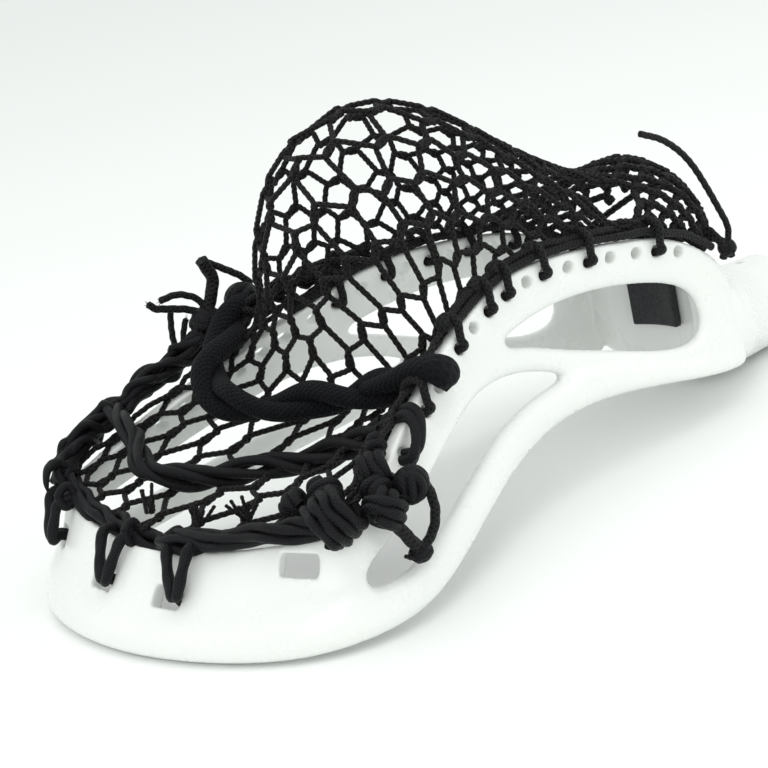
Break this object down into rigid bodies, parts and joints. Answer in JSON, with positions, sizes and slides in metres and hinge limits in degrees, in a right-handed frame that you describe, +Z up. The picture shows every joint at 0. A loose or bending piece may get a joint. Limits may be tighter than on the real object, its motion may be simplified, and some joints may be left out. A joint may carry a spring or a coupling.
{
  "type": "strung lacrosse head",
  "caption": "White moulded lacrosse head with a deep black mesh pocket, lacing through the rails, and an octagonal shaft socket, lying face down.",
  "frame": {"origin": "bottom centre of the bounding box of the head as it lies face down", "axes": "+X from the scoop to the shaft socket, +Y across the head, +Z up towards the pocket"},
  "size_m": [0.3226, 0.1686, 0.1464],
  "materials": {
    "nylon_white": "injection-moulded nylon, satin gloss",
    "foam_black": "closed-cell foam pad",
    "mesh_black": "knitted polyester cord, slightly waxed",
    "lace_black": "braided nylon lace, soft sheen"
  },
  "bodies": {
    "root": {"head_frame": "nylon_white", "ball_stop": "foam_black", "pocket_mesh": "mesh_black", "sidewall_string_near": "mesh_black", "sidewall_string_far": "mesh_black", "bottom_string": "lace_black", "top_string": "lace_black", "shooting_lace_woven": "lace_black", "shooting_lace_smooth": "lace_black", "bottom_string_tail": "lace_black", "lace_stub": "lace_black", "lace_tail_woven": "lace_black", "lace_tail_upper": "lace_black", "lace_tail_lower": "lace_black", "top_string_tail_long": "lace_black", "top_string_tail_short": "lace_black", "top_string_strand_outer": "lace_black", "top_string_strand_inner": "lace_black", "top_string_knot_outer": "lace_black", "top_string_knot_middle": "lace_black", "top_string_knot_inner": "lace_black", "top_string_end_knot": "lace_black", "lace_knot_woven": "lace_black", "lace_knot_smooth": "lace_black", "bottom_string_knot": "lace_black"}
  },
  "joints": []
}
